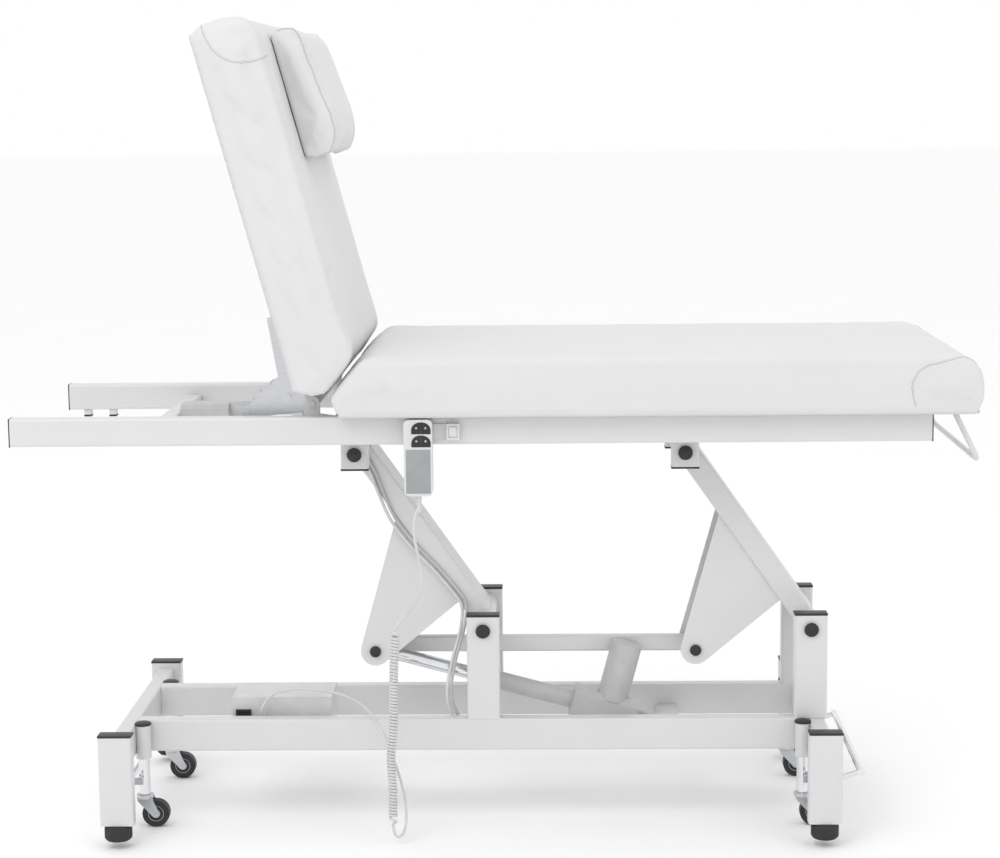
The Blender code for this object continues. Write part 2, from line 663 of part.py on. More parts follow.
def grown(outline, margin):
    """An outline moved outwards from its middle by about margin."""
    middle = sum((Vector(p) for p in outline), Vector((0, 0))) / len(outline)
    return [tuple(Vector(p) + (Vector(p) - middle).normalized() * margin * 1.5) for p in outline]


def make_switch():
    face = -DECK_Y[1] - GAP
    obj = add("switch_housing", block((-0.084, face - 0.012, 0.734), (-0.061, face, 0.763)), IVORY)
    weld(obj, block((-0.108, face - 0.003, 0.736), (-0.080, face, 0.762)))
    cut(obj, block((-0.080, face - 0.020, 0.739), (-0.065, face - 0.005, 0.758)))
    rocker = [(0.7395, -0.0108), (0.7485, -0.0125), (0.7575, -0.0148), (0.7575, -0.0085), (0.7395, -0.0085)]
    mesh = bmesh.new()
    sides = [[mesh.verts.new((x, face + y, z)) for z, y in rocker] for x in (-0.0794, -0.0656)]
    for side in sides:
        mesh.faces.new(side)
    for index in range(len(rocker)):
        after = (index + 1) % len(rocker)
        mesh.faces.new((sides[0][index], sides[0][after], sides[1][after], sides[1][index]))
    add("switch_rocker", mesh, IVORY, (-0.0725, face - 0.0085, 0.7485))


def make_paper_bar():
    top, low = (0.806, DECK_TOP - 0.0028), (0.848, 0.687)
    bend = 0.024
    points = [Vector((top[0], -0.240, top[1])), Vector((low[0], -0.240, low[1])), Vector((low[0], 0.240, low[1])),
              Vector((top[0], 0.240, top[1]))]
    route = [points[0]]
    for before, corner, after in zip(points, points[1:], points[2:]):
        first = corner + (before - corner).normalized() * bend
        second = corner + (after - corner).normalized() * bend
        for step in range(7):
            s = step / 6
            route.append(first * (1 - s) ** 2 + corner * 2 * s * (1 - s) + second * s**2)
    route.append(points[-1])
    curve = bpy.data.curves.new("paper_roll_bar", "CURVE")
    curve.dimensions = "3D"
    curve.bevel_depth = 0.005
    curve.bevel_resolution = 3
    curve.use_fill_caps = True
    spline = curve.splines.new("POLY")
    spline.points.add(len(route) - 1)
    for point, place in zip(spline.points, route):
        point.co = (*place, 1.0)
    obj = bpy.data.objects.new("paper_roll_bar", curve)
    bpy.context.scene.collection.objects.link(obj)
    curve.materials.append(material("paper_roll_bar_white_steel", *WHITE[1:]))


def make_cords():
    lead = ((-0.133, -0.2845, 0.6297), (-0.133, -0.2845, 0.620), (-0.141, -0.284, 0.600), (-0.143, -0.283, 0.570),
            (-0.137, -0.281, 0.530), (-0.131, -0.279, 0.495), (-0.133, -0.277, 0.468), (-0.146, -0.276, 0.440),
            (-0.163, -0.275, 0.420), (-0.176, -0.275, 0.4045))
    cable("handset_lead", lead, CORD_R, 0.010, IVORY)
    coil = ((-0.1770, -0.275, 0.4000), (-0.181, -0.275, 0.370), (-0.184, -0.275, 0.300), (-0.186, -0.275, 0.220),
            (-0.191, -0.274, 0.165), (-0.189, -0.273, 0.110), (-0.189, -0.272, 0.060), (-0.189, -0.272, 0.0315))
    cable("handset_coil", coil, COIL_R, 0.024, IVORY, 3)
    tail = ((-0.189, -0.272, 0.0290), (-0.186, -0.272, 0.0180), (-0.179, -0.271, 0.0140), (-0.171, -0.268, 0.0220),
            (-0.166, -0.264, 0.045), (-0.168, -0.258, 0.080), (-0.178, -0.248, 0.118), (-0.191, -0.233, 0.150),
            (-0.208, -0.205, 0.182), (-0.230, -0.168, 0.208), (-0.257, -0.130, 0.2225), (-0.295, -0.106, 0.234),
            (-0.345, -0.096, 0.241), (-0.395, -0.094, 0.241), (-0.428, -0.094, 0.228), (-0.442, -0.0990, 0.208),
            (-0.444, -0.0980, 0.195), (-0.444, -0.0930, 0.1883), (-0.444, -0.0890, 0.1875), (-0.444, -0.0855, 0.1875))
    cable("handset_tail", tail, CORD_R, 0.0125, IVORY)
    arm = ((-0.228, -0.0535, 0.644), (-0.212, -0.0535, 0.601), (-0.192, -0.0535, 0.556), (-0.157, -0.0535, 0.509),
           (-0.112, -0.0535, 0.461), (-0.078, -0.0535, 0.420), (-0.064, -0.0535, 0.400))
    cable("arm_cable", arm, CABLE_R, 0.012, GREY)


def main():
    clear_scene()
    make_base_sides()
    make_end_frames()
    make_feet()
    make_castors()
    make_pedals()
    make_axles()
    make_arms()
    make_tie_bar()
    make_lift_motor()
    make_motor_mount()
    make_control_box()
    make_deck_rails()
    make_cross_members()
    make_seat()
    make_back_frame()
    make_back()
    make_pillow()
    make_back_motor()
    make_handset()
    make_switch()
    make_paper_bar()
    make_cords()


main()
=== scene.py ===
import json
import math

import bmesh
import bpy
from mathutils import Matrix, Vector, noise
from mathutils.bvhtree import BVHTree


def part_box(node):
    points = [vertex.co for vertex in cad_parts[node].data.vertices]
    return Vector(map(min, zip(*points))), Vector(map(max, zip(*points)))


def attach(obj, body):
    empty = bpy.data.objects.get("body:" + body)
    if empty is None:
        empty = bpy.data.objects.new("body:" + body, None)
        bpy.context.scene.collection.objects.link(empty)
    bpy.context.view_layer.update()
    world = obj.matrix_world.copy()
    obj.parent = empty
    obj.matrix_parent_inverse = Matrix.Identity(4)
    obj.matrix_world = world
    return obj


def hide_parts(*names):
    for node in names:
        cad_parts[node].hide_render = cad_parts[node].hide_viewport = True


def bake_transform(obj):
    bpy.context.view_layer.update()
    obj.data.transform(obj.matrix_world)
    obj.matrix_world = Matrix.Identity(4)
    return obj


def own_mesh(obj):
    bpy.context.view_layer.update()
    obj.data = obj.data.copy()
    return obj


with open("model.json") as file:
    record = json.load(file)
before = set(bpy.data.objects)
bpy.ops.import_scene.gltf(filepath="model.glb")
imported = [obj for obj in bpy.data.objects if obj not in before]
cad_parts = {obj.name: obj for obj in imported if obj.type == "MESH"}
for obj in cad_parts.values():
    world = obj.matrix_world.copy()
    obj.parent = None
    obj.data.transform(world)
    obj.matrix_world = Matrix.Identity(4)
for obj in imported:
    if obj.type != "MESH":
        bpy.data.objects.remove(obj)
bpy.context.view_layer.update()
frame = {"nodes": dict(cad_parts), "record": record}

NODES = frame["nodes"]
ENDS = {"head": -0.6835, "foot": 0.5815}
SIDES = {"near": -1, "far": 1}
PIVOT_X = {"head": -0.029, "foot": 0.570}
UPPER = {"head": (-0.25843, 0.68866), "foot": (0.34057, 0.68866)}
LOWER_PIVOT_Z = 0.361
CRANK_PINS = {"head": (-0.234, 0.301), "foot": (0.365, 0.301)}
LEG_Y, POST_Y, CASTOR_Y, CASTOR_INSET = 0.278, 0.124, 0.155, 0.0275
HINGE = Vector((-0.325, 0.0, 0.792))
BACK_ANGLE = math.radians(75)
BACK_N = Vector((math.sin(BACK_ANGLE), 0.0, math.cos(BACK_ANGLE)))
BACK_T = Vector((-math.cos(BACK_ANGLE), 0.0, math.sin(BACK_ANGLE)))
CABLE_R, CABLE_Y = 0.003, -0.0535
CLOTH_FRAMES, CLOTH_PRESSURE, CLOTH_STIFFNESS = 20, 4.0, 30.0


def castor_x(end):
    return ENDS[end] + (CASTOR_INSET if end == "head" else -CASTOR_INSET)


def on_back(n, t, y=0.0):
    """A point n in front of the back's hinge, square to the back, and t along it."""
    return HINGE + BACK_N * n + BACK_T * t + Vector((0, y, 0))


# Camera

def make_camera():
    yaw, pitch, roll = -0.0254232, 0.1399589, -0.0106553
    forward = Vector((math.sin(yaw) * math.cos(pitch), math.cos(yaw) * math.cos(pitch), -math.sin(pitch)))
    right = Vector((math.cos(yaw), -math.sin(yaw), 0.0))
    up = right.cross(forward)
    right, up = (right * math.cos(roll) + up * math.sin(roll),
                 up * math.cos(roll) - right * math.sin(roll))
    data = bpy.data.cameras.new("camera")
    data.lens = 82.8
    data.sensor_width = 36.0
    data.clip_end = 200.0
    cam = bpy.data.objects.new("camera", data)
    turn = Matrix((right, up, -forward)).transposed().to_4x4()
    cam.matrix_world = Matrix.Translation((0.1108, -4.2515, 1.3133)) @ turn
    bpy.context.scene.collection.objects.link(cam)
    bpy.context.scene.camera = cam


# Materials

def new_material(name, colour, roughness, metallic=0.0):
    made = bpy.data.materials.new(name)
    made.use_nodes = True
    tree = made.node_tree
    shader = tree.nodes["Principled BSDF"]
    shader.inputs["Base Color"].default_value = (*colour, 1.0)
    shader.inputs["Roughness"].default_value = roughness
    shader.inputs["Metallic"].default_value = metallic
    return made, tree, shader


def node(tree, kind, **values):
    made = tree.nodes.new(kind)
    for key, value in values.items():
        if key in made.inputs:
            made.inputs[key].default_value = value
        else:
            setattr(made, key, value)
    return made


def placed(tree, scale=(1.0, 1.0, 1.0)):
    """Object coordinates, so that a pattern moves with its piece."""
    where = node(tree, "ShaderNodeTexCoord")
    mapping = node(tree, "ShaderNodeMapping")
    mapping.inputs["Scale"].default_value = scale
    tree.links.new(where.outputs["Object"], mapping.inputs["Vector"])
    return mapping.outputs["Vector"]


def vary_colour(tree, shader, vector, colour, amount, scale, detail=4.0):
    """The colour, lightened and darkened in soft patches."""
    patches = node(tree, "ShaderNodeTexNoise", Scale=scale, Detail=detail)
    ramp = node(tree, "ShaderNodeValToRGB")
    ramp.color_ramp.elements[0].position = 0.3
    ramp.color_ramp.elements[1].position = 0.7
    ramp.color_ramp.elements[0].color = (*[max(0.0, c * (1 - amount)) for c in colour], 1)
    ramp.color_ramp.elements[1].color = (*[min(1.0, c * (1 + amount)) for c in colour], 1)
    tree.links.new(vector, patches.inputs["Vector"])
    tree.links.new(patches.outputs["Fac"], ramp.inputs["Fac"])
    tree.links.new(ramp.outputs["Color"], shader.inputs["Base Color"])
    return patches


def vary_roughness(tree, shader, vector, low, high, scale):
    smudges = node(tree, "ShaderNodeTexNoise", Scale=scale, Detail=5.0)
    span = node(tree, "ShaderNodeMapRange")
    span.inputs["To Min"].default_value = low
    span.inputs["To Max"].default_value = high
    tree.links.new(vector, smudges.inputs["Vector"])
    tree.links.new(smudges.outputs["Fac"], span.inputs["Value"])
    tree.links.new(span.outputs["Result"], shader.inputs["Roughness"])


def bump(tree, shader, height, strength, distance, below=None):
    made = node(tree, "ShaderNodeBump", Strength=strength, Distance=distance)
    tree.links.new(height, made.inputs["Height"])
    if below is not None:
        tree.links.new(below.outputs["Normal"], made.inputs["Normal"])
    tree.links.new(made.outputs["Normal"], shader.inputs["Normal"])
    return made


def powder_coat(name, colour, amount=0.015):
    """Sprayed paint: a fine orange peel, with a little unevenness."""
    made, tree, shader = new_material(name, colour, 0.34)
    vector = placed(tree)
    vary_colour(tree, shader, vector, colour, amount, 6.0)
    vary_roughness(tree, shader, vector, 0.27, 0.42, 14.0)
    peel = node(tree, "ShaderNodeTexNoise", Scale=520.0, Detail=3.0)
    tree.links.new(vector, peel.inputs["Vector"])
    bump(tree, shader, peel.outputs["Fac"], 0.16, 0.0004)
    shader.inputs["Coat Weight"].default_value = 0.12
    shader.inputs["Coat Roughness"].default_value = 0.2
    return made


def leatherette(name, colour, pores=760.0):
    """Coated fabric: small grain cells between fine creases, and faint folds."""
    made, tree, shader = new_material(name, colour, 0.46)
    vector = placed(tree)
    vary_colour(tree, shader, vector, colour, 0.012, 5.0)
    vary_roughness(tree, shader, vector, 0.40, 0.54, 22.0)
    cells = node(tree, "ShaderNodeTexVoronoi", feature="DISTANCE_TO_EDGE", Scale=pores)
    tree.links.new(vector, cells.inputs["Vector"])
    folds = node(tree, "ShaderNodeTexNoise", Scale=26.0, Detail=3.0)
    tree.links.new(vector, folds.inputs["Vector"])
    first = bump(tree, shader, folds.outputs["Fac"], 0.10, 0.004)
    bump(tree, shader, cells.outputs["Distance"], 0.22, 0.0006, first)
    shader.inputs["Sheen Weight"].default_value = 0.08
    return made


def moulded(name, colour, low, high, grain=900.0, strength=0.2):
    """Moulded plastic or rubber with a spark-eroded grain."""
    made, tree, shader = new_material(name, colour, (low + high) / 2)
    vector = placed(tree)
    vary_colour(tree, shader, vector, colour, 0.06, 30.0)
    vary_roughness(tree, shader, vector, low, high, 60.0)
    pits = node(tree, "ShaderNodeTexNoise", Scale=grain, Detail=2.0)
    tree.links.new(vector, pits.inputs["Vector"])
    bump(tree, shader, pits.outputs["Fac"], strength, 0.0003)
    return made


def metal(name, colour, low, high, stretch, strength):
    """Plated or drawn metal: streaks along one axis, and rub marks in its gloss."""
    made, tree, shader = new_material(name, colour, (low + high) / 2, 1.0)
    vector = placed(tree, stretch)
    vary_colour(tree, shader, vector, colour, 0.05, 40.0)
    vary_roughness(tree, shader, vector, low, high, 90.0)
    streaks = node(tree, "ShaderNodeTexNoise", Scale=300.0, Detail=3.0)
    tree.links.new(vector, streaks.inputs["Vector"])
    bump(tree, shader, streaks.outputs["Fac"], strength, 0.0002)
    return made


def plywood(name):
    made, tree, shader = new_material(name, (0.55, 0.39, 0.22), 0.6)
    vector = placed(tree, (2.0, 14.0, 60.0))
    grain = node(tree, "ShaderNodeTexNoise", Scale=6.0, Detail=8.0, Distortion=0.6)
    ramp = node(tree, "ShaderNodeValToRGB")
    ramp.color_ramp.elements[0].color = (0.34, 0.21, 0.10, 1)
    ramp.color_ramp.elements[1].color = (0.70, 0.52, 0.31, 1)
    tree.links.new(vector, grain.inputs["Vector"])
    tree.links.new(grain.outputs["Fac"], ramp.inputs["Fac"])
    tree.links.new(ramp.outputs["Color"], shader.inputs["Base Color"])
    bump(tree, shader, grain.outputs["Fac"], 0.2, 0.0006)
    return made


WHITE = powder_coat("powder_coat_white", (0.635, 0.637, 0.640))
LEATHER = leatherette("leatherette_white", (0.645, 0.647, 0.650))
SEAM = leatherette("leatherette_seam", (0.52, 0.522, 0.525), 1200.0)
BLACK = moulded("plastic_black", (0.014, 0.014, 0.015), 0.36, 0.52)
RUBBER = moulded("rubber_black", (0.022, 0.022, 0.023), 0.62, 0.82, 500.0, 0.35)
TYRE = moulded("tyre_black", (0.018, 0.018, 0.019), 0.45, 0.66, 350.0, 0.3)
IVORY = moulded("plastic_white", (0.62, 0.622, 0.625), 0.32, 0.44, 700.0, 0.12)
GREY = moulded("plastic_grey", (0.48, 0.482, 0.485), 0.36, 0.5, 700.0, 0.2)
PANEL = moulded("panel_grey", (0.30, 0.31, 0.315), 0.42, 0.55, 800.0, 0.15)
CORD = moulded("cord_white", (0.60, 0.602, 0.605), 0.40, 0.55, 600.0, 0.1)
CHROME = metal("chrome_plate", (0.76, 0.77, 0.79), 0.06, 0.16, (1.0, 1.0, 1.0), 0.03)
ZINC = metal("zinc_plate", (0.60, 0.61, 0.63), 0.26, 0.42, (1.0, 1.0, 8.0), 0.12)
WOOD = plywood("plywood_edge")
SLOTS = {"black_plastic": BLACK, "black_rubber": RUBBER, "tyre": TYRE, "chrome": CHROME, "zinc_steel": ZINC,
         "leatherette": LEATHER, "plywood": WOOD, "grey_plastic": GREY,
         "white_plastic": IVORY, "white_steel": WHITE}


def dress_frame():
    """Every CAD node takes the detailed material of its slot."""
    for part in frame["record"]["subparts"]:
        obj = NODES[part["node"]]
        finish = SLOTS[part["material_slot"]]
        if not obj.material_slots:
            obj.data.materials.append(finish)
        for place in obj.material_slots:
            place.material = finish


# Shapes

def make(name, mesh, finish, body, smooth=40):
    bmesh.ops.recalc_face_normals(mesh, faces=mesh.faces)
    data = bpy.data.meshes.new(name)
    mesh.to_mesh(data)
    mesh.free()
    data.shade_smooth()
    data.set_sharp_from_angle(angle=math.radians(smooth))
    data.materials.append(finish)
    obj = bpy.data.objects.new(name, data)
    bpy.context.scene.collection.objects.link(obj)
    if body:
        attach(obj, body)
    return obj


def soft_block(low, high, radius, steps=3):
    """A block with rounded edges."""
    low, high = Vector(low), Vector(high)
    mesh = bmesh.new()
    place = Matrix.Translation((low + high) / 2) @ Matrix.Diagonal((*(high - low), 1.0))
    bmesh.ops.create_cube(mesh, size=1.0, matrix=place)
    bmesh.ops.bevel(mesh, geom=mesh.edges[:], offset=radius, segments=steps, affect="EDGES", profile=0.5)
    return mesh


def lathe(profile, centre, axis, count=40):
    """A closed profile of (radius, height) points turned about axis through centre."""
    axis = Vector(axis).normalized()
    first = axis.orthogonal().normalized()
    second = axis.cross(first)
    centre = Vector(centre)
    mesh = bmesh.new()
    rings = []
    for radius, height in profile:
        middle = centre + axis * height
        if radius < 1e-6:
            rings.append([mesh.verts.new(middle)])
            continue
        rings.append([mesh.verts.new(middle + (first * math.cos(a) + second * math.sin(a)) * radius)
                      for a in (2 * math.pi * i / count for i in range(count))])
    for low, high in zip(rings, rings[1:]):
        for i in range(count):
            j = (i + 1) % count
            if len(low) == 1 and len(high) > 1:
                mesh.faces.new((low[0], high[i], high[j]))
            elif len(high) == 1 and len(low) > 1:
                mesh.faces.new((low[i], low[j], high[0]))
            elif len(low) > 1:
                mesh.faces.new((low[i], low[j], high[j], high[i]))
    for ring in (rings[0], rings[-1]):
        if len(ring) > 1:
            mesh.faces.new(ring)
    return mesh


def dome(radius, height):
    """Profile of a domed bolt head."""
    rim = height * 0.45
    curve = [(radius * math.cos(a), rim + (height - rim) * math.sin(a))
             for a in (math.radians(v) for v in (0, 18, 36, 54, 72))]
    return [(0, 0), (radius * 0.97, 0), (radius, rim * 0.2), *curve, (0, height)]


def smooth_route(points, spacing):
    knots = [Vector(p) for p in points]
    ends = [2 * knots[0] - knots[1], *knots, 2 * knots[-1] - knots[-2]]
    fine = []
    for before, start, end, after in zip(ends, ends[1:], ends[2:], ends[3:]):
        for step in range(24):
            s = step / 24
            square = (2 * before - 5 * start + 4 * end - after) * s**2
            cube = (3 * start - before - 3 * end + after) * s**3
            fine.append(0.5 * (2 * start + (end - before) * s + square + cube))
    fine.append(knots[-1])
    total = sum((b - a).length for a, b in zip(fine, fine[1:]))
    count = max(2, round(total / spacing))
    placed_points, walked, wanted = [fine[0]], 0.0, 1
    for a, b in zip(fine, fine[1:]):
        length = (b - a).length
        while wanted < count and walked + length >= total * wanted / count:
            placed_points.append(a.lerp(b, (total * wanted / count - walked) / length))
            wanted += 1
        walked += length
    placed_points.append(fine[-1])
    return placed_points


def sweep(points, radius, sides=10):
    """A round tube along points, its section carried round the bends without twist."""
    points = [Vector(p) for p in points]
    sizes = radius if isinstance(radius, list) else [radius] * len(points)
    mesh = bmesh.new()
    along = (points[1] - points[0]).normalized()
    first = along.orthogonal().normalized()
    rings = []
    for i, point in enumerate(points):
        before, after = points[max(i - 1, 0)], points[min(i + 1, len(points) - 1)]
        now = (after - before).normalized()
        first = (along.rotation_difference(now) @ first)
        first = (first - now * first.dot(now)).normalized()
        second = now.cross(first)
        along = now
        rings.append([mesh.verts.new(point + (first * math.cos(a) + second * math.sin(a)) * sizes[i])
                      for a in (2 * math.pi * k / sides for k in range(sides))])
    for low, high in zip(rings, rings[1:]):
        for i in range(sides):
            j = (i + 1) % sides
            mesh.faces.new((low[i], low[j], high[j], high[i]))
    mesh.faces.new(rings[0])
    mesh.faces.new(rings[-1])
    return mesh


# Cords, on the routes of the CAD's own cords

CORD_D = 0.005
COIL_PITCH, WINDING_R = 0.0058, 0.006
LEAD = ((-0.133, -0.2845, 0.6297), (-0.133, -0.2845, 0.620), (-0.141, -0.284, 0.600),
        (-0.143, -0.283, 0.570), (-0.137, -0.281, 0.530), (-0.131, -0.279, 0.495),
        (-0.133, -0.277, 0.468), (-0.146, -0.276, 0.440), (-0.163, -0.275, 0.420),
        (-0.176, -0.275, 0.4045))
COIL = ((-0.1770, -0.275, 0.4000), (-0.181, -0.275, 0.370), (-0.184, -0.275, 0.300),
        (-0.186, -0.275, 0.220), (-0.191, -0.274, 0.165), (-0.189, -0.273, 0.110),
        (-0.189, -0.272, 0.060), (-0.189, -0.272, 0.0315))
TAIL = ((-0.189, -0.272, 0.0290), (-0.186, -0.272, 0.0180), (-0.179, -0.271, 0.0140),
        (-0.171, -0.268, 0.0220), (-0.166, -0.264, 0.045), (-0.168, -0.258, 0.080),
        (-0.178, -0.248, 0.118), (-0.191, -0.233, 0.150), (-0.208, -0.205, 0.182),
        (-0.230, -0.168, 0.208), (-0.257, -0.130, 0.2225), (-0.295, -0.106, 0.234),
        (-0.345, -0.096, 0.241), (-0.395, -0.094, 0.241), (-0.428, -0.094, 0.228),
        (-0.442, -0.0990, 0.208), (-0.444, -0.0980, 0.195), (-0.444, -0.0930, 0.1883),
        (-0.444, -0.0890, 0.1875), (-0.444, -0.0855, 0.1875))


def eased(value):
    value = min(max(value, 0.0), 1.0)
    return value * value * (3 - 2 * value)


def coiled_route():
    """The straight lead, then a helix about the coil's own line, and back to that line at the bottom.

    At either end the winding reaches its radius before it reaches its full rate of turn, so it has no kink.
    """
    line = smooth_route([*LEAD, *COIL[1:-1], TAIL[0]], 0.0005)
    distances = [0.0]
    for a, b in zip(line, line[1:]):
        distances.append(distances[-1] + (b - a).length)
    total = distances[-1]
    first = min(range(len(line)), key=lambda i: (line[i] - Vector(LEAD[-1])).length)
    start = distances[first]
    lead_steps = round(start / 0.004)
    coil_steps = round((total - start) / (COIL_PITCH / 15))
    places = [start * i / lead_steps for i in range(lead_steps)]
    places += [start + (total - start) * i / coil_steps for i in range(coil_steps + 1)]
    points, index, turn, before = [], 0, 0.0, start
    for place in places:
        while index < len(line) - 2 and distances[index + 1] < place:
            index += 1
        part = (place - distances[index]) / max(distances[index + 1] - distances[index], 1e-9)
        centre = line[index].lerp(line[index + 1], min(max(part, 0.0), 1.0))
        inside = min(place - start, total - place)
        if inside > 0:
            rate = 0.27 + 0.73 * eased((inside - 0.016) / 0.010)
            turn += 2 * math.pi * (place - before) / COIL_PITCH * rate
        before = max(place, start)
        out = Vector((math.cos(turn), math.sin(turn), 0)) * WINDING_R * eased(inside / 0.018)
        points.append(centre + out)
    return points


def make_cords():
    route = coiled_route()
    coiled = make("handset_cord", sweep(route, CORD_D / 2, 9), CORD, "base")
    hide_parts("handset_lead", "handset_coil")
    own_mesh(coiled)
    route = smooth_route(TAIL, 0.004)
    tail = make("handset_cord_tail", sweep(route, CORD_D / 2, 12), CORD, "base")
    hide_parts("handset_tail")
    ribbed = [(0.0, 0.0), (0.0046, 0.0)]
    for i in range(5):
        r, h = 0.0046 - 0.00028 * i, -0.0014 - 0.0044 * i
        ribbed += [(r, h), (r - 0.0006, h - 0.0006), (r - 0.0006, h - 0.0022), (r - 0.0001, h - 0.0028)]
    strain = lathe([*ribbed, (0.0030, -0.0225), (0.0, -0.0225)], (-0.133, -0.2845, 0.6300), (0, 0, 1), 24)
    make("handset_strain_relief", strain, CORD, "deck")
    gland = lathe([(0.0, 0.0), (0.0056, 0.0), (0.0056, 0.002), (0.0044, 0.004), (0.0040, 0.012),
                   (0.0031, 0.020), (0.0, 0.020)], (-0.444, -0.0845, 0.1875), (0, -1, 0), 24)
    make("cord_gland", gland, CORD, "base")


def make_arm_cables():
    along = ((-0.228, 0.644), (-0.212, 0.601), (-0.192, 0.556), (-0.157, 0.509), (-0.112, 0.461),
             (-0.078, 0.420), (-0.064, 0.400))
    drop = ((-0.064, -0.0535, 0.400), (-0.062, -0.064, 0.382), (-0.066, -0.083, 0.352),
            (-0.079, -0.097, 0.307), (-0.089, -0.100, 0.259), (-0.089, -0.100, 0.221),
            (-0.078, -0.100, 0.192))
    rise = ((-0.252, -0.0535, 0.706), (-0.246, -0.0535, 0.684), (-0.238, -0.0535, 0.664),
            (-0.228, -0.0535, 0.644))
    first = True
    cables = (("arm_cable_a", (0.0, 0.0, 0.0), GREY), ("arm_cable_b", (-0.0075, 0.0, -0.0055), IVORY))
    for name, shift, finish in cables:
        shift = Vector(shift)
        route = [p + shift for p in smooth_route([(x, CABLE_Y, z) for x, z in along], 0.006)]
        main = make(name, sweep(route, CABLE_R, 12), finish, "arm_head")
        if first:
            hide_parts("arm_cable")
            first = False
        low = [p + shift for p in smooth_route(drop, 0.005)]
        lower = make(f"{name}_drop", sweep(low, CABLE_R, 12), finish, None)
        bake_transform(lower)
        high = [p + shift for p in smooth_route(rise, 0.004)]
        upper = make(f"{name}_rise", sweep(high, CABLE_R, 12), finish, None)
        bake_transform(upper)


# Cushions

def evaluated(obj):
    graph = bpy.context.evaluated_depsgraph_get()
    return bpy.data.meshes.new_from_object(obj.evaluated_get(graph), depsgraph=graph)


def upholster(node_name, name, body, voxel, inset, reach, rest_side, rest_share=0.86, rounds=14, wrap=None):
    """A foam pad in coated fabric: the CAD block remeshed, rounded off, then swelled by a pressured cloth.

    What faces rest_side, where the pad lies on its board, keeps its place. wrap is an outline in X and Z of
    the board's edge, which the cover is pulled over.
    """
    whole = bmesh.new()
    whole.from_mesh(NODES[node_name].data)
    if wrap:
        sides = [[whole.verts.new((x, y, z)) for x, z in wrap] for y in (-0.309, 0.309)]
        faces = [whole.faces.new(side) for side in sides]
        for index in range(len(wrap)):
            after = (index + 1) % len(wrap)
            edge = sides[0][index], sides[0][after], sides[1][after], sides[1][index]
            faces.append(whole.faces.new(edge))
        bmesh.ops.recalc_face_normals(whole, faces=faces)
    data = bpy.data.meshes.new(name)
    whole.to_mesh(data)
    whole.free()
    obj = bpy.data.objects.new(name, data)
    bpy.context.scene.collection.objects.link(obj)
    remesh = obj.modifiers.new("remesh", "REMESH")
    remesh.mode = "VOXEL"
    remesh.voxel_size = voxel
    draw_in = obj.modifiers.new("inset", "DISPLACE")
    draw_in.mid_level = 0.0
    draw_in.strength = -inset
    rounding = obj.modifiers.new("rounding", "SMOOTH")
    rounding.factor = 0.5
    rounding.iterations = rounds
    obj.data = evaluated(obj)
    obj.modifiers.clear()
    before = [v.co.copy() for v in obj.data.vertices]
    normals = [v.normal.copy() for v in obj.data.vertices]
    facing = [normal.dot(rest_side) for normal in normals]
    cloth = obj.modifiers.new("fill", "CLOTH")
    settings = cloth.settings
    settings.quality = 4
    settings.mass = 0.3
    settings.use_pressure = True
    settings.uniform_pressure_force = CLOTH_PRESSURE
    settings.effector_weights.gravity = 0.0
    settings.tension_stiffness = CLOTH_STIFFNESS
    settings.compression_stiffness = CLOTH_STIFFNESS
    cloth.collision_settings.use_collision = False
    cloth.point_cache.frame_start = 1
    cloth.point_cache.frame_end = CLOTH_FRAMES
    scene = bpy.context.scene
    for number in range(1, CLOTH_FRAMES + 1):
        scene.frame_set(number)
    result = evaluated(obj)
    swelled = [v.co.copy() for v in result.vertices]
    obj.modifiers.clear()
    scene.frame_set(1)
    places = []
    for start, end, out, normal in zip(before, swelled, facing, normals):
        move = end - start
        size = move.length
        if size > 1e-9:
            move = move * (reach * math.tanh(size / reach) / size)
        if out > rest_share:
            move = rest_side * inset * 0.98
        ripple = noise.noise(start * 16.0) * 0.0007 + noise.noise(start * 45.0) * 0.00025
        places.extend(start + move + (normal * ripple if out < 0.5 else Vector((0, 0, 0))))
    obj.data.vertices.foreach_set("co", places)
    obj.data.update()
    obj.data.shade_smooth()
    obj.data.materials.append(LEATHER)
    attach(obj, body)
    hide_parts(node_name)
    return obj


def surface(obj):
    data = obj.data
    data.calc_loop_triangles()
    triangles = [tuple(t.vertices) for t in data.loop_triangles]
    return BVHTree.FromPolygons([v.co for v in data.vertices], triangles)


def stitch(name, tree, points, body, radius=0.0011):
    """A raised seam laid on a cushion's own surface."""
    route = []
    for point in smooth_route(points, 0.004):
        near, normal, _, _ = tree.find_nearest(point)
        route.append(near + normal * radius * 0.15)
    kept = [route[0]]
    for point in route[1:]:
        if (point - kept[-1]).length > 0.0012:
            kept.append(point)
    return make(name, sweep(kept, radius, 8), SEAM, body)


